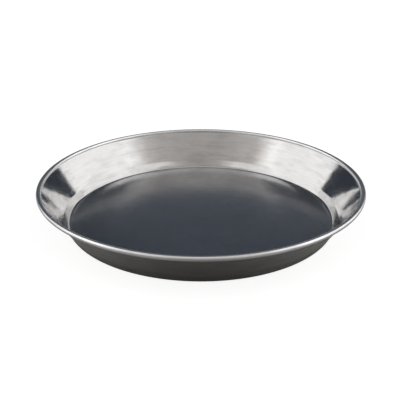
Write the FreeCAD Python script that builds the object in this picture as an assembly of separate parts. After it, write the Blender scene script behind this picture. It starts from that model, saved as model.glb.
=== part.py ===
"""Round sheet-metal oil drain pan with a wired rim.

The pan is one drawn shell of galvanised steel sheet: a flat floor, a rounded corner, a steep foot
to the wall, a bend, a straight flared wall, and a rim that is curled outward over a steel wire.
Under the curl the sheet has a small neck, so that the wire sits over the wall and not beside it.
The wire ring lies inside the curl and stiffens the rim. Nothing on the pan moves.

Units are millimetres. +Z is up, the axis of the pan is the Z axis, and the origin is the centre
of the flat underside, which stands on the ground.
"""

import FreeCAD
import Part
import math
import os

# Overall sizes.
rim_diameter = 445.0  # over the outside of the curled rim
pan_height = 54.0  # ground to the top of the rim
wall_flare = 42.0  # how far the rim reaches out past the edge of the flat floor

# The sheet, the corner between floor and wall, and the foot of the wall.
sheet_thickness = 0.7
inside_corner_radius = 4.0
foot_slope = 62.0  # degrees from the ground
bend_height = 11.5  # ground to the bend at the top of the foot, on the inside
bend_radius = 10.0  # on the hollow side of the bend

# The wired rim.
wire_diameter = 4.8
wire_clearance = 0.05  # radial play between the wire and the curl around it
curl_edge_gap = 0.3  # between the raw edge of the curl and the outside of the neck
wire_butt_gap = 1.0  # between the two ends of the wire, where the ring closes
wall_lead = 1.8  # how far inward of the middle of the wire the inside of the wall is heading
neck_radius = 3.0  # of the hollow on the inside, where the wall turns up into the curl

# Places that follow from the sizes above.
curl_inside_radius = wire_diameter / 2 + wire_clearance
curl_outside_radius = curl_inside_radius + sheet_thickness
outside_corner_radius = inside_corner_radius + sheet_thickness
outside_neck_radius = neck_radius + sheet_thickness
rim_to_neck = curl_outside_radius + neck_radius
floor_radius = rim_diameter / 2 - wall_flare

AXIS_POINT = FreeCAD.Vector(0, 0, 0)
AXIS = FreeCAD.Vector(0, 0, 1)
FULL_TURN = 360.0


def point(radius, height):
    """A point of the half section, which is drawn in the XZ plane."""
    return FreeCAD.Vector(radius, 0, height)


def polar(centre, radius, degrees):
    """The point at this distance and angle from a centre in the half section."""
    angle = math.radians(degrees)
    return centre + point(radius * math.cos(angle), radius * math.sin(angle))


def line(start, end):
    return Part.LineSegment(start, end).toShape()


def arc(centre, radius, start_degrees, end_degrees):
    """An arc about a centre, from one angle to another, either way round."""
    middle_degrees = (start_degrees + end_degrees) / 2
    return Part.Arc(
        polar(centre, radius, start_degrees),
        polar(centre, radius, middle_degrees),
        polar(centre, radius, end_degrees),
    ).toShape()


def corner_centre():
    """Centre of the rounded corner: above the edge of the flat floor."""
    return point(floor_radius, sheet_thickness + inside_corner_radius)


def rim_centre():
    """Centre of the curl and of the wire inside it."""
    return point(rim_diameter / 2 - curl_outside_radius, pan_height - curl_outside_radius)


def slope_to_rim(start, reach):
    """Slope, in degrees, of a line that passes inward of its start and of the wire.

    It passes the start at the reach given here, and the middle of the wire at the wall's lead.
    """
    span = rim_centre() - start
    slope_between = math.atan2(span.z, span.x)
    return math.degrees(slope_between + math.asin((wall_lead - reach) / span.Length))


def foot_top():
    """The top of the foot on the inside, where the bend starts."""
    foot_start = polar(corner_centre(), inside_corner_radius, foot_slope - 90)
    foot_length = (bend_height - foot_start.z) / math.sin(math.radians(foot_slope))
    return polar(foot_start, foot_length, foot_slope)


def bend_reach():
    """How far the inside and the outside face lie inward of the centre of the bend.

    A wall flatter than the foot has that centre outside the pan, and a steeper wall inside it.
    """
    if slope_to_rim(foot_top(), 0) < foot_slope:
        return bend_radius + sheet_thickness, bend_radius
    return -bend_radius, -bend_radius - sheet_thickness


def bend_centre():
    """Centre of the bend at the top of the foot."""
    inside_reach, outside_reach = bend_reach()
    return polar(foot_top(), -inside_reach, foot_slope + 90)


def wall_angle():
    """Slope of the wall, in degrees from the ground.

    The wall runs straight from the bend to the neck. It is tangent to the bend, and it is heading
    for a place inward of the middle of the wire, by the lead.
    """
    inside_reach, outside_reach = bend_reach()
    return slope_to_rim(bend_centre(), inside_reach)


def neck_turn():
    """How far the wall turns up, in degrees, between its straight part and the curl."""
    return math.degrees(math.acos((neck_radius + wall_lead) / rim_to_neck))


def neck_centre():
    """Centre of the neck. It lies inside the pan, below the curl."""
    return polar(rim_centre(), rim_to_neck, wall_angle() + 90 + neck_turn())


def curl_wrap():
    """How far the sheet goes round the wire, in degrees, before its raw edge nears the neck."""
    edge_to_neck = outside_neck_radius + curl_edge_gap
    open_part = (curl_outside_radius**2 + rim_to_neck**2 - edge_to_neck**2) / (
        2 * curl_outside_radius * rim_to_neck
    )
    return FULL_TURN - math.degrees(math.acos(open_part))


def pan_shell():
    """Floor, corner, foot, wall, neck and curl: one sheet of even thickness, turned about Z."""
    slope = wall_angle()
    across_wall = slope + 90  # square to the wall, towards the inside of the pan
    across_foot = foot_slope + 90
    neck_start = slope - 90
    neck_end = neck_start + neck_turn()
    curl_start = across_wall + neck_turn()
    curl_end = curl_start - curl_wrap()
    corner = corner_centre()
    bend = bend_centre()
    inside_reach, outside_reach = bend_reach()
    neck = neck_centre()
    rim = rim_centre()
    down = -90
    corner_end = foot_slope - 90

    underside = line(point(0, 0), point(floor_radius, 0))
    outside_corner = arc(corner, outside_corner_radius, down, corner_end)
    outside_foot = line(
        polar(corner, outside_corner_radius, corner_end),
        polar(bend, outside_reach, across_foot),
    )
    outside_bend = arc(bend, outside_reach, across_foot, across_wall)
    outside_wall = line(
        polar(bend, outside_reach, across_wall),
        polar(neck, outside_neck_radius, neck_start),
    )
    outside_neck = arc(neck, outside_neck_radius, neck_start, neck_end)
    inside_of_curl = arc(rim, curl_inside_radius, curl_start, curl_end)
    raw_edge = line(
        polar(rim, curl_inside_radius, curl_end),
        polar(rim, curl_outside_radius, curl_end),
    )
    outside_of_curl = arc(rim, curl_outside_radius, curl_end, curl_start)
    inside_neck = arc(neck, neck_radius, neck_end, neck_start)
    inside_wall = line(
        polar(neck, neck_radius, neck_start),
        polar(bend, inside_reach, across_wall),
    )
    inside_bend = arc(bend, inside_reach, across_wall, across_foot)
    inside_foot = line(
        polar(bend, inside_reach, across_foot),
        polar(corner, inside_corner_radius, corner_end),
    )
    inside_corner = arc(corner, inside_corner_radius, corner_end, down)
    floor = line(point(floor_radius, sheet_thickness), point(0, sheet_thickness))
    on_axis = line(point(0, sheet_thickness), point(0, 0))

    section = Part.Wire(
        [
            underside,
            outside_corner,
            outside_foot,
            outside_bend,
            outside_wall,
            outside_neck,
            inside_of_curl,
            raw_edge,
            outside_of_curl,
            inside_neck,
            inside_wall,
            inside_bend,
            inside_foot,
            inside_corner,
            floor,
            on_axis,
        ]
    )
    return Part.Face(section).revolve(AXIS_POINT, AXIS, FULL_TURN)


def rim_wire():
    """The wire in the curl: a round bar bent into a ring, whose two ends butt with a small gap."""
    centre = rim_centre()
    gap_degrees = math.degrees(wire_butt_gap / centre.x)
    circle = Part.Circle(centre, FreeCAD.Vector(0, 1, 0), wire_diameter / 2)
    section = Part.Face(Part.Wire(circle.toShape()))
    ring = section.revolve(AXIS_POINT, AXIS, FULL_TURN - gap_degrees)
    joint_at_the_back = 90 + gap_degrees / 2
    ring.rotate(AXIS_POINT, AXIS, joint_at_the_back)
    return ring


def export(node, shape):
    """Writes one sub-part as parts/NODE.step, as a single valid solid."""
    solid = shape if shape.ShapeType == "Solid" else Part.Solid(shape)
    if not solid.isValid() or solid.Volume <= 0:
        raise ValueError(f"{node} is not a valid solid")
    solid.exportStep(os.path.join("parts", node + ".step"))
    print(f"{node}: {solid.Volume / 1000:.1f} cm3")


def main():
    os.makedirs("parts", exist_ok=True)
    export("pan_shell", pan_shell())
    export("rim_wire", rim_wire())
    print(f"wall slope {wall_angle():.1f} degrees, curl wrap {curl_wrap():.0f} degrees")


main()
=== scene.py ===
"""Oil drain pan: one drawn sheet of plated steel, its rim curled over a ring of wire."""

import math

import bmesh
import bpy
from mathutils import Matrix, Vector


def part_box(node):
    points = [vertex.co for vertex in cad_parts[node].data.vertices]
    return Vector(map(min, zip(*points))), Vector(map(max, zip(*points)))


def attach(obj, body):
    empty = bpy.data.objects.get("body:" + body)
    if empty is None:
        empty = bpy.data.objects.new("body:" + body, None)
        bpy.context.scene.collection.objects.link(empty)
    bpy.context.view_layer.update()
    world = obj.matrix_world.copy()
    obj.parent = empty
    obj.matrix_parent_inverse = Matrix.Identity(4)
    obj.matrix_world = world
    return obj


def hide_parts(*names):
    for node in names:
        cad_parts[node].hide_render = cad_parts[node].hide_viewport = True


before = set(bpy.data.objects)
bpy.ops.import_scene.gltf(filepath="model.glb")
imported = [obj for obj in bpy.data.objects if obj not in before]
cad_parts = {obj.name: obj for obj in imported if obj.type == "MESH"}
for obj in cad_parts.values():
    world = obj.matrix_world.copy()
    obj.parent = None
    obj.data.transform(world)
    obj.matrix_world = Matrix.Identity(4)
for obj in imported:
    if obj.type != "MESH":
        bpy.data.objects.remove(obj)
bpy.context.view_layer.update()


# ---- The pan shell -----------------------------------------------------------------------------
# One disc of plated steel sheet, drawn over a punch into floor and wall. The tools burnish the wall
# bright and leave the floor as it was rolled; the floor's darker colour is also partly painted shade.
# A second stroke flares the wall above its foot. The trimmed edge is turned up in a small neck and
# curled outward over the wire.

low_corner, high_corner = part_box("pan_shell")
rim_radius = min(high_corner.x - low_corner.x, high_corner.y - low_corner.y) / 2
pan_height = high_corner.z
sheet = 0.0007
wall_flare = 0.042  # how far the rim reaches out past the edge of the flat floor
inside_corner = 0.004
outside_corner = inside_corner + sheet
wire_radius = 0.0024
wire_play = 0.00005
curl_inside = wire_radius + wire_play
curl_outside = curl_inside + sheet
curl_edge_gap = 0.0003  # between the raw edge of the curl and the outside of the neck
wall_lead = 0.0018  # how far inward of the middle of the wire the wall is heading
neck_inside = 0.003
neck_outside = neck_inside + sheet
floor_radius = rim_radius - wall_flare
corner_centre = Vector((floor_radius, sheet + inside_corner))
rim_centre = Vector((rim_radius - curl_outside, pan_height - curl_outside))


def on_circle(centre, radius, degrees):
    """The point of the half section at this angle from a centre: x is the radius, y the height."""
    return centre + radius * Vector((math.cos(math.radians(degrees)), math.sin(math.radians(degrees))))


def straight(start, end, steps):
    """Points from start to end, leaving out the start."""
    return [start.lerp(end, step / steps) for step in range(1, steps + 1)]


def bend(centre, radius, start_degrees, end_degrees, steps):
    """Points round a bend, leaving out the first."""
    turn = (end_degrees - start_degrees) / steps
    return [on_circle(centre, radius, start_degrees + turn * step) for step in range(1, steps + 1)]


# The foot of the wall is steep. Above a bend the wall runs straight to the neck.
foot_slope = 62
bend_height = 0.0115
bend_outside = 0.010
bend_inside = bend_outside + sheet
across_foot = foot_slope + 90
corner_end = foot_slope - 90
foot_start = on_circle(corner_centre, inside_corner, corner_end)
up_foot = on_circle(Vector((0, 0)), 1, foot_slope)
foot_end = foot_start + up_foot * (bend_height - foot_start.y) / up_foot.y
bend_centre = on_circle(foot_end, -bend_inside, across_foot)

# The wall is heading for a place just inward of the middle of the wire. Under the curl a small
# neck turns it up, so that the curl starts on the inside of the wire.
span = rim_centre - bend_centre
wall_slope = math.degrees(
    math.atan2(span.y, span.x) + math.asin((wall_lead - bend_inside) / span.length)
)
across_wall = wall_slope + 90
rim_to_neck = curl_outside + neck_inside
neck_turn = math.degrees(math.acos((neck_inside + wall_lead) / rim_to_neck))
neck_start = wall_slope - 90
neck_end = neck_start + neck_turn
curl_start = across_wall + neck_turn
neck_centre = on_circle(rim_centre, rim_to_neck, curl_start)
edge_to_neck = neck_outside + curl_edge_gap
curl_open = math.degrees(math.acos(
    (curl_outside**2 + rim_to_neck**2 - edge_to_neck**2) / (2 * curl_outside * rim_to_neck)
))
curl_end = curl_start - 360 + curl_open

# The section runs from the middle of the floor over the inside, round the curl, and back under.
# Each stretch has its points, how much it shines, and how matt its surface is.
stretches = [
    # The inside, going up: floor, corner, foot, bend, wall and neck.
    # The floor shines less than the wall: partly its rolled finish, partly painted shade for the dark it
    # mirrors.
    (straight(Vector((0, sheet)), Vector((floor_radius, sheet)), 26), 0.56, 0.22),
    (bend(corner_centre, inside_corner, -90, corner_end, 12), 0.66, 0.14),
    (straight(foot_start, foot_end, 10), 0.72, 0.10),
    (bend(bend_centre, bend_inside, across_foot, across_wall, 4), 0.72, 0.11),
    (straight(on_circle(bend_centre, bend_inside, across_wall),
              on_circle(neck_centre, neck_inside, neck_start), 42), 0.74, 0.09),
    (bend(neck_centre, neck_inside, neck_start, neck_end, 7), 0.80, 0.24),
    # Round the outside of the curl, over its raw edge, and back round the wire.
    # The outside of the curl is the same face as the inside wall but is given more shine: a painted
    # highlight that lightens the rim.
    (bend(rim_centre, curl_outside, curl_start, curl_end, 36), 0.97, 0.30),
    ([on_circle(rim_centre, curl_inside, curl_end)], 0.50, 0.30),
    (bend(rim_centre, curl_inside, curl_end, curl_start, 20), 0.50, 0.30),
    # The outside, going down: neck, wall, bend, foot, corner and underside.
    (bend(neck_centre, neck_outside, neck_end, neck_start, 6), 0.54, 0.24),
    (straight(on_circle(neck_centre, neck_outside, neck_start),
              on_circle(bend_centre, bend_outside, across_wall), 18), 0.56, 0.22),
    # Below the wall the outside shines less and less towards the table, least at the corner: painted
    # shade where the foot meets the table.
    (bend(bend_centre, bend_outside, across_wall, across_foot, 3), 0.52, 0.24),
    (straight(on_circle(bend_centre, bend_outside, across_foot),
              on_circle(corner_centre, outside_corner, corner_end), 4), 0.46, 0.26),
    (bend(corner_centre, outside_corner, corner_end, -90, 8), 0.42, 0.30),
    (straight(Vector((floor_radius, 0)), Vector((0, 0)), 14), 0.48, 0.34),
]

inside_stretches = stretches[:6]

section_points = [Vector((0, sheet))]
section_shine = [stretches[0][1]]
section_matt = [stretches[0][2]]
for stretch, shine, matt in stretches:
    section_points += stretch
    section_shine += [shine] * len(stretch)
    section_matt += [matt] * len(stretch)

section_along = [0.0]
for start, end in zip(section_points, section_points[1:]):
    section_along.append(section_along[-1] + (end - start).length)

# The inside of the pan ends where the curl starts.
inside_length = section_along[sum(len(stretch) for stretch, shine, matt in inside_stretches)]

section_mesh = bpy.data.meshes.new("shell_section")
section_mesh.from_pydata(
    [(point.x, 0, point.y) for point in section_points],
    [(index, index + 1) for index in range(len(section_points) - 1)],
    [],
)
for name, values in (("along", section_along), ("shine", section_shine), ("matt", section_matt)):
    section_mesh.attributes.new(name, "FLOAT", "POINT").data.foreach_set("value", values)
section = bpy.data.objects.new("shell_section", section_mesh)
bpy.context.scene.collection.objects.link(section)


def node(tree, kind, settings=None, **inputs):
    """Adds a node, sets its options, and fills its inputs with numbers or with other sockets."""
    made = tree.nodes.new(kind)
    for option, value in (settings or {}).items():
        setattr(made, option, value)
    for name, value in inputs.items():
        fill(tree, made.inputs[name.replace("_", " ")], value)
    return made


def fill(tree, socket, value):
    if isinstance(value, bpy.types.NodeSocket):
        tree.links.new(value, socket)
    else:
        socket.default_value = value


def calc(tree, operation, *values):
    """A Math node's result. Its values are numbers or sockets."""
    made = tree.nodes.new("ShaderNodeMath")
    made.operation = operation
    for socket, value in zip(made.inputs, values):
        fill(tree, socket, value)
    return made.outputs[0]


def product(tree, *values):
    """Several values multiplied together."""
    made = values[0]
    for value in values[1:]:
        made = calc(tree, "MULTIPLY", made, value)
    return made


def ease(tree, value, start, end, before=0.0, after=1.0):
    """Goes smoothly from one number to another while the value goes from start to end."""
    made = tree.nodes.new("ShaderNodeMapRange")
    made.interpolation_type = "SMOOTHSTEP"
    for name, number in (("Value", value), ("From Min", start), ("From Max", end),
                         ("To Min", before), ("To Max", after)):
        fill(tree, made.inputs[name], number)
    return made.outputs[0]


def xyz(tree, x, y, z):
    return node(tree, "ShaderNodeCombineXYZ", X=x, Y=y, Z=z).outputs[0]


def radius_of(tree, at):
    """Distance from the axis of the pan."""
    return calc(tree, "SQRT", calc(tree, "ADD", product(tree, at["X"], at["X"]),
                                   product(tree, at["Y"], at["Y"])))


def turning_tree():
    """Turns a half section about Z into one closed shell, with the unevenness of real sheet."""
    tree = bpy.data.node_groups.new("Turned sheet", "GeometryNodeTree")
    sockets = {}
    for name, kind in (("Section", "Object"), ("Steps round", "Int"), ("Floor buckle", "Float"),
                       ("Wall ripple", "Float"), ("Corner radius", "Float"),
                       ("Wall foot", "Float"), ("Wall head", "Float"), ("Seed", "Float"),
                       ("Finish", "Material")):
        made = tree.interface.new_socket(name, in_out="INPUT", socket_type="NodeSocket" + kind)
        sockets[name] = made.identifier
    tree.interface.new_socket("Geometry", in_out="OUTPUT", socket_type="NodeSocketGeometry")
    given = tree.nodes.new("NodeGroupInput").outputs

    source = node(tree, "GeometryNodeObjectInfo", Object=given["Section"]).outputs["Geometry"]
    size = node(tree, "GeometryNodeAttributeDomainSize", Geometry=source)
    rows = size.outputs["Point Count"]
    columns = calc(tree, "ADD", given["Steps round"], 1)
    grid = node(tree, "GeometryNodeMeshGrid", Size_X=1.0, Size_Y=1.0,
                Vertices_X=columns, Vertices_Y=rows)

    # A grid's X is a place round the pan, and its Y is a place along the section.
    place = node(tree, "ShaderNodeSeparateXYZ",
                 Vector=node(tree, "GeometryNodeInputPosition").outputs[0]).outputs
    turn = product(tree, calc(tree, "ADD", place["X"], 0.5), math.tau)
    row = calc(tree, "ROUND", product(
        tree, calc(tree, "ADD", place["Y"], 0.5), calc(tree, "SUBTRACT", rows, 1)))

    def sampled(kind, field):
        made = node(tree, "GeometryNodeSampleIndex", {"data_type": kind}, Geometry=source, Index=row)
        tree.links.new(field, made.inputs["Value"])
        return made.outputs["Value"]

    point = node(tree, "ShaderNodeSeparateXYZ", Vector=sampled(
        "FLOAT_VECTOR", node(tree, "GeometryNodeInputPosition").outputs[0])).outputs
    radius, height = point["X"], point["Z"]
    cosine, sine = calc(tree, "COSINE", turn), calc(tree, "SINE", turn)

    def waves(per_m, pattern):
        """Smooth noise from -1 to 1 that depends only on where the sheet is."""
        where = xyz(tree, product(tree, radius, cosine), product(tree, radius, sine),
                    calc(tree, "ADD", height, product(tree, given["Seed"], pattern)))
        made = node(tree, "ShaderNodeTexNoise", Vector=where, Scale=per_m, Detail=1.0, Roughness=0.4)
        return calc(tree, "MULTIPLY_ADD", made.outputs[0], 2.0, -1.0)

    # The floor rises a little in the middle and buckles. The wall ripples between the stiff corner
    # and the stiff wired rim. Both faces of the sheet move together.
    on_floor = ease(tree, radius, product(tree, given["Corner radius"], 0.98),
                    product(tree, given["Corner radius"], 0.7))
    buckles = calc(tree, "MULTIPLY_ADD", waves(per_m=9.0, pattern=1.0), 0.5, 0.5)
    lift = product(tree, on_floor, given["Floor buckle"], buckles)
    on_wall = product(
        tree,
        ease(tree, height, given["Wall foot"], product(tree, given["Wall foot"], 2.2)),
        ease(tree, height, given["Wall head"], product(tree, given["Wall head"], 0.8)),
    )
    broad_ripple = waves(per_m=22.0, pattern=2.0)
    fine_share = 0.16
    fine_ripple = product(tree, waves(per_m=75.0, pattern=3.0), fine_share)
    ripple = product(tree, on_wall, given["Wall ripple"], calc(tree, "ADD", broad_ripple, fine_ripple))
    reach = calc(tree, "ADD", radius, ripple)
    moved = xyz(tree, product(tree, reach, cosine), product(tree, reach, sine),
                calc(tree, "ADD", height, lift))

    # Everything that reads the flat grid is stored before the grid is bent into shape.
    shape = grid.outputs["Mesh"]
    for name in ("along", "shine", "matt"):
        named = node(tree, "GeometryNodeInputNamedAttribute", {"data_type": "FLOAT"}, Name=name)
        stored = node(tree, "GeometryNodeStoreNamedAttribute",
                      {"data_type": "FLOAT", "domain": "POINT"}, Geometry=shape, Name=name)
        tree.links.new(sampled("FLOAT", named.outputs["Attribute"]), stored.inputs["Value"])
        shape = stored.outputs["Geometry"]
    shape = node(tree, "GeometryNodeSetPosition", Geometry=shape, Position=moved).outputs[0]
    same_place = 0.000002
    shape = node(tree, "GeometryNodeMergeByDistance", Geometry=shape, Distance=same_place).outputs[0]
    shape = node(tree, "GeometryNodeSetShadeSmooth", Geometry=shape).outputs[0]
    shape = node(tree, "GeometryNodeRealizeInstances", Geometry=shape).outputs[0]
    shape = node(tree, "GeometryNodeSetMaterial", Geometry=shape, Material=given["Finish"]).outputs[0]
    node(tree, "NodeGroupOutput", Geometry=shape)
    return tree, sockets


def turned(name, tree, values):
    """Runs a tree with these values and returns its result as a plain mesh object."""
    maker = bpy.data.objects.new(name + "_maker", bpy.data.meshes.new(name + "_maker"))
    bpy.context.scene.collection.objects.link(maker)
    modifier = maker.modifiers.new("make", "NODES")
    modifier.node_group = tree
    for identifier, value in values.items():
        modifier[identifier] = value
    graph = bpy.context.evaluated_depsgraph_get()
    mesh = bpy.data.meshes.new_from_object(maker.evaluated_get(graph))
    maker.modifiers.remove(modifier)
    bpy.data.objects.remove(maker)
    mesh.name = name
    piece = bpy.data.objects.new(name, mesh)
    bpy.context.scene.collection.objects.link(piece)
    return piece


def face_outward(piece):
    """Turns a closed mesh's faces to point outward, and keeps its corners crisp."""
    shape = bmesh.new()
    shape.from_mesh(piece.data)
    bmesh.ops.recalc_face_normals(shape, faces=shape.faces)
    if shape.calc_volume(signed=True) < 0:
        bmesh.ops.reverse_faces(shape, faces=shape.faces)
    shape.to_mesh(piece.data)
    shape.free()
    crisp_corner = 50
    piece.data.set_sharp_from_angle(angle=math.radians(crisp_corner))


def plated_sheet():
    """Bright plate on steel: darker where it lay flat, partly as painted shade; bright and lined where it
    was drawn.
    """
    material = bpy.data.materials.new("plated_sheet")
    material.use_nodes = True
    tree = material.node_tree
    tree.nodes.clear()
    place = node(tree, "ShaderNodeTexCoord").outputs["Object"]
    at = node(tree, "ShaderNodeSeparateXYZ", Vector=place).outputs
    along = node(tree, "ShaderNodeAttribute", {"attribute_name": "along"}).outputs["Fac"]
    shine = node(tree, "ShaderNodeAttribute", {"attribute_name": "shine"}).outputs["Fac"]
    matt = node(tree, "ShaderNodeAttribute", {"attribute_name": "matt"}).outputs["Fac"]

    def noise(vector, detail=2.0, roughness=0.5):
        return node(tree, "ShaderNodeTexNoise", Vector=vector, Scale=1.0, Detail=detail,
                    Roughness=roughness).outputs[0]

    def grain(per_m, detail, roughness):
        """Noise that runs in no direction, with about this many grains to the metre."""
        return noise(xyz(tree, product(tree, at["X"], per_m), product(tree, at["Y"], per_m),
                         product(tree, at["Z"], per_m)), detail, roughness)

    def round_lines(length_per_m, width_per_m):
        """Lines that run round the pan, long one way and narrow along the section."""
        return noise(xyz(tree, product(tree, at["X"], length_per_m),
                         product(tree, at["Y"], length_per_m), product(tree, along, width_per_m)))

    def about_zero(pattern):
        return calc(tree, "SUBTRACT", pattern, 0.5)

    coarse_lines = round_lines(length_per_m=14.0, width_per_m=620.0)
    fine_lines = round_lines(length_per_m=22.0, width_per_m=2600.0)
    rub_marks = round_lines(length_per_m=34.0, width_per_m=130.0)
    frost = grain(per_m=480.0, detail=2.0, roughness=0.6)
    dirt = grain(per_m=420.0, detail=1.0, roughness=0.5)
    mottle = grain(per_m=105.0, detail=4.0, roughness=0.6)
    blotches = grain(per_m=26.0, detail=3.0, roughness=0.55)

    # How much the tools have rubbed the sheet: 0 on the floor, 1 on the wall and the rim. Only
    # rubbed metal is smeared round the pan.
    rubbed = ease(tree, radius_of(tree, at), floor_radius, floor_radius + inside_corner)
    smears = calc(tree, "MULTIPLY_ADD", about_zero(rub_marks), rubbed, 0.5)

    # The inside is frosted and specked by what has stood in the pan. The outside has a quarter of
    # the frost and no specks. The depths are in millimetres.
    inside = ease(tree, along, inside_length + sheet, inside_length)
    specks = product(tree, rubbed, inside, ease(tree, dirt, 0.50, 0.68))
    frost_outside = 0.0002
    frost_inside = 0.0008
    coarse_depth = 0.0035
    fine_depth = 0.0010
    frost_depth = calc(tree, "MULTIPLY_ADD", inside, frost_inside - frost_outside, frost_outside)
    lines = calc(tree, "ADD", product(tree, coarse_lines, coarse_depth),
                 product(tree, fine_lines, fine_depth))
    height = calc(tree, "ADD", product(tree, frost, frost_depth), product(tree, lines, rubbed))
    bump = node(tree, "ShaderNodeBump", Strength=1.0, Distance=0.001, Height=height)

    # Blotches and smears make the metal up to 0.05 more or less matt, and specks up to 0.1 more.
    uneven = calc(tree, "ADD", product(tree, about_zero(blotches), 0.10),
                  product(tree, about_zero(smears), 0.10))
    uneven = calc(tree, "ADD", uneven, product(tree, specks, 0.10))
    smoothest = 0.05
    rough = calc(tree, "MAXIMUM", calc(tree, "ADD", matt, uneven), smoothest)

    # Dull patches and smears take a little off the shine. Drawing lines streak the outside more
    # than the inside, and the rolled floor is cloudier than the rubbed wall.
    dull = calc(tree, "ADD", product(tree, blotches, 0.5), product(tree, smears, 0.5))
    wear = ease(tree, dull, 0.42, 0.68, before=1.03, after=0.86)
    streak = product(tree, rubbed, ease(tree, inside, 0.0, 1.0, before=0.45, after=0.20))
    cloudy = ease(tree, rubbed, 0.0, 1.0, before=0.50, after=0.15)
    worn = product(
        tree,
        shine,
        wear,
        calc(tree, "MULTIPLY_ADD", about_zero(coarse_lines), streak, 1.0),
        calc(tree, "MULTIPLY_ADD", about_zero(mottle), cloudy, 1.0),
    )
    tone = node(tree, "ShaderNodeVectorMath", {"operation": "SCALE"})
    tone.inputs[0].default_value = (1.0, 0.995, 0.99)
    fill(tree, tone.inputs["Scale"], worn)

    shader = node(tree, "ShaderNodeBsdfPrincipled", Metallic=1.0, Roughness=rough,
                  Base_Color=tone.outputs[0], Normal=bump.outputs["Normal"])
    node(tree, "ShaderNodeOutputMaterial", Surface=shader.outputs[0])
    return material


turn_sheet, inlet = turning_tree()
shell = turned("drawn_shell", turn_sheet, {
    inlet["Section"]: section,
    inlet["Steps round"]: 360,
    inlet["Floor buckle"]: 0.0004,
    inlet["Wall ripple"]: 0.00036,
    inlet["Corner radius"]: floor_radius,
    inlet["Wall foot"]: sheet + inside_corner / 2,
    inlet["Wall head"]: rim_centre.y - curl_outside,
    inlet["Seed"]: 7.0,
    inlet["Finish"]: plated_sheet(),
})
bpy.data.objects.remove(section)
face_outward(shell)
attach(shell, "root")
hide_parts("pan_shell")


# ---- The rim wire ------------------------------------------------------------------------------
# Plain drawn steel wire, bent into a ring whose two ends butt at the back of the pan. It is put
# on before the edge is curled, and only the gap under the curl shows it.

butt_gap = 0.001
wire_turn = math.tau - butt_gap / rim_centre.x
wire_steps = 300
wire_sides = 20


def wire_ring():
    shape = bmesh.new()
    rings = []
    for step in range(wire_steps + 1):
        turn = math.pi / 2 + butt_gap / rim_centre.x / 2 + wire_turn * step / wire_steps
        ring = []
        for side in range(wire_sides):
            point = on_circle(rim_centre, wire_radius, 360 * side / wire_sides)
            ring.append(shape.verts.new((point.x * math.cos(turn), point.x * math.sin(turn), point.y)))
        rings.append(ring)
    for ring, following in zip(rings, rings[1:]):
        for side in range(wire_sides):
            beside = (side + 1) % wire_sides
            shape.faces.new((ring[side], ring[beside], following[beside], following[side]))
    shape.faces.new(rings[0])
    shape.faces.new(rings[-1])
    mesh = bpy.data.meshes.new("bent_wire")
    shape.to_mesh(mesh)
    shape.free()
    mesh.shade_smooth()
    piece = bpy.data.objects.new("bent_wire", mesh)
    bpy.context.scene.collection.objects.link(piece)
    face_outward(piece)
    return piece


def drawn_wire():
    """Grey drawn steel with a little dark scale."""
    material = bpy.data.materials.new("drawn_wire")
    material.use_nodes = True
    tree = material.node_tree
    tree.nodes.clear()
    place = node(tree, "ShaderNodeTexCoord").outputs["Object"]
    marks_per_m = 420.0
    marks_height = 0.004  # in millimetres
    scale_marks = node(tree, "ShaderNodeTexNoise", Vector=place, Scale=marks_per_m, Detail=3.0).outputs[0]
    tone = node(tree, "ShaderNodeMix", {"data_type": "RGBA"})
    fill(tree, tone.inputs["Factor"], ease(tree, scale_marks, 0.4, 0.7))
    tone.inputs[6].default_value = (0.42, 0.42, 0.43, 1.0)
    tone.inputs[7].default_value = (0.24, 0.23, 0.22, 1.0)
    bump = node(tree, "ShaderNodeBump", Strength=1.0, Distance=0.001,
                Height=product(tree, scale_marks, marks_height))
    shader = node(tree, "ShaderNodeBsdfPrincipled", Metallic=1.0, Base_Color=tone.outputs[2],
                  Roughness=ease(tree, scale_marks, 0.3, 0.8, before=0.32, after=0.5),
                  Normal=bump.outputs["Normal"])
    node(tree, "ShaderNodeOutputMaterial", Surface=shader.outputs[0])
    return material


wire = wire_ring()
wire.data.materials.append(drawn_wire())
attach(wire, "root")
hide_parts("rim_wire")


# ---- The studio --------------------------------------------------------------------------------
# A plain pale table, two wide soft boxes left and right, a pale ceiling, a dark cloth behind and a
# grey room in front with a lighter wing at each side.

def plain(name, middle, sides, glow):
    """A flat matt grey, lighter or darker down the middle, that may give off light of its own."""
    material = bpy.data.materials.new(name)
    material.use_nodes = True
    tree = material.node_tree
    tree.nodes.clear()
    at = node(tree, "ShaderNodeSeparateXYZ",
              Vector=node(tree, "ShaderNodeTexCoord").outputs["Object"]).outputs
    sides_from = 0.20
    shade = ease(tree, calc(tree, "ABSOLUTE", at["X"]), 0.0, sides_from, middle, sides)
    shader = node(tree, "ShaderNodeBsdfPrincipled", Base_Color=xyz(tree, shade, shade, shade),
                  Roughness=1.0, Specular_IOR_Level=0.0, Emission_Color=(1.0, 1.0, 1.0, 1.0),
                  Emission_Strength=glow)
    node(tree, "ShaderNodeOutputMaterial", Surface=shader.outputs[0])
    return material


def table_sheet(name, height, half_width, material):
    mesh = bpy.data.meshes.new(name)
    mesh.from_pydata([(-half_width, -half_width, height), (half_width, -half_width, height),
                      (half_width, half_width, height), (-half_width, half_width, height)],
                     [], [(0, 1, 2, 3)])
    sheet_object = bpy.data.objects.new(name, mesh)
    bpy.context.scene.collection.objects.link(sheet_object)
    mesh.materials.append(material)
    return sheet_object


# The table is evenly lit from below, so it looks pale and takes only a faint shadow. The metal
# mirrors a duller sheet in its place, which the pan does shade; that sheet's grey, darker down the
# middle, is painted shade of the table.
pale_table = plain("pale_table", middle=0.35, sides=0.35, glow=0.86)
table = table_sheet("table", height=-0.0004, half_width=6, material=pale_table)
table.visible_glossy = False
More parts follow.
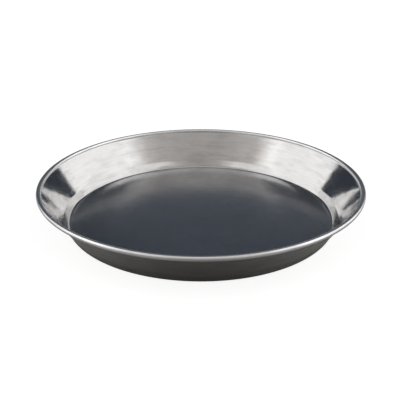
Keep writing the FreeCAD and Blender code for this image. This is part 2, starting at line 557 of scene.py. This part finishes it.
# Painted shade: a grey sheet seen only in the metal, darker down the middle where the table in front of
# the pan is shaded.
mirrored_table_shade = plain("mirrored_table_shade", middle=0.265, sides=0.49, glow=0.0)
bench = table_sheet("bench", height=-0.0001, half_width=3, material=mirrored_table_shade)
bench.visible_camera = False
bench.visible_diffuse = False
bench.visible_shadow = False


def add_colours(tree, first, second):
    made = node(tree, "ShaderNodeVectorMath", {"operation": "ADD"})
    fill(tree, made.inputs[0], first)
    fill(tree, made.inputs[1], second)
    return made.outputs[0]


def studio_world():
    """What the metal mirrors, by direction, and a plain pale backdrop for the camera."""
    world = bpy.data.worlds.new("studio")
    world.use_nodes = True
    tree = world.node_tree
    tree.nodes.clear()
    at = node(tree, "ShaderNodeSeparateXYZ",
              Vector=node(tree, "ShaderNodeTexCoord").outputs["Generated"]).outputs
    level = calc(tree, "MAXIMUM", radius_of(tree, at), 0.001)
    behind = calc(tree, "DIVIDE", at["Y"], level)
    right = calc(tree, "DIVIDE", at["X"], level)
    up = at["Z"]

    # Behind is 1 straight behind the pan and -1 straight in front. Up is 1 straight overhead. The
    # right box reaches a little further round the back than the left one.
    round_back = calc(tree, "MULTIPLY_ADD", right, -0.048, behind)
    below_ceiling = ease(tree, up, 0.96, 0.88)
    boxes = product(
        tree,
        ease(tree, round_back, 0.68, 0.63),
        ease(tree, behind, -0.60, -0.25),
        below_ceiling,
    )

    # The room in front is darker low down and straight in front. Its wings are two lighter patches,
    # one at each side.
    room = product(
        tree,
        ease(tree, behind, -0.15, -0.55),
        ease(tree, up, 0.1, 0.62, before=0.5, after=1.0),
        ease(tree, behind, -1.0, -0.5, before=1.0, after=1.35),
        below_ceiling,
    )
    wings = product(
        tree,
        ease(tree, behind, -0.99, -0.82),
        ease(tree, behind, -0.35, -0.6),
        ease(tree, up, 0.34, 0.42),
        ease(tree, up, 0.62, 0.54),
    )

    # The ceiling dims towards the back. The cloth is lightest near the ceiling, a little lighter
    # low down, and darker away from its middle, which lies slightly to the right.
    ceiling = product(
        tree,
        ease(tree, up, 0.88, 0.96),
        ease(tree, at["Y"], -0.12, 0.15, before=1.0, after=0.62),
    )
    off_middle = calc(tree, "ABSOLUTE", calc(tree, "SUBTRACT", right, 0.06))
    cloth = product(
        tree,
        ease(tree, round_back, 0.63, 0.68),
        below_ceiling,
        ease(tree, up, 0.55, 0.90, before=1.0, after=3.0),
        ease(tree, up, 0.44, 0.54, before=1.75, after=1.0),
        ease(tree, off_middle, 0.12, 0.34, before=1.2, after=0.5),
    )

    # Each light's strength, colour and place.
    glow = None
    for strength, colour, mask in (
        (1.08, (1.0, 0.995, 0.99), boxes),
        (0.64, (1.0, 0.985, 0.975), ceiling),
        (0.40, (1.03, 0.985, 0.955), room),
        (0.42, (1.0, 0.99, 0.98), wings),
        (0.05, (0.82, 0.98, 1.25), cloth),
    ):
        part = node(tree, "ShaderNodeVectorMath", {"operation": "SCALE"})
        part.inputs[0].default_value = colour
        fill(tree, part.inputs["Scale"], calc(tree, "MULTIPLY", mask, strength))
        glow = part.outputs[0] if glow is None else add_colours(tree, glow, part.outputs[0])
    light = node(tree, "ShaderNodeBackground", Color=glow, Strength=1.0)
    pale = node(tree, "ShaderNodeBackground", Color=(1.0, 1.0, 1.0, 1.0), Strength=1.0)
    chosen = node(tree, "ShaderNodeMixShader")
    fill(tree, chosen.inputs[0], node(tree, "ShaderNodeLightPath").outputs["Is Camera Ray"])
    fill(tree, chosen.inputs[1], light.outputs[0])
    fill(tree, chosen.inputs[2], pale.outputs[0])
    node(tree, "ShaderNodeOutputWorld", Surface=chosen.outputs[0])
    return world


bpy.context.scene.world = studio_world()
bpy.context.scene.view_settings.view_transform = "Standard"

# The camera looks down on the pan from the front, as someone standing at a bench would. A small
# shift brings the pan to its place in the frame.
look_down = math.radians(23.9)
camera_distance = 4.40 * rim_radius
camera_data = bpy.data.cameras.new("camera")
camera_data.sensor_width = 36
camera_data.lens = 63.3
camera_data.shift_x = -0.0022
camera_data.shift_y = -0.0060
camera_data.clip_start = 0.01
camera = bpy.data.objects.new("camera", camera_data)
bpy.context.scene.collection.objects.link(camera)
camera.location = (0, -camera_distance * math.cos(look_down),
                   pan_height / 2 + camera_distance * math.sin(look_down))
camera.rotation_euler = (math.pi / 2 - look_down, 0, 0)
bpy.context.scene.camera = camera
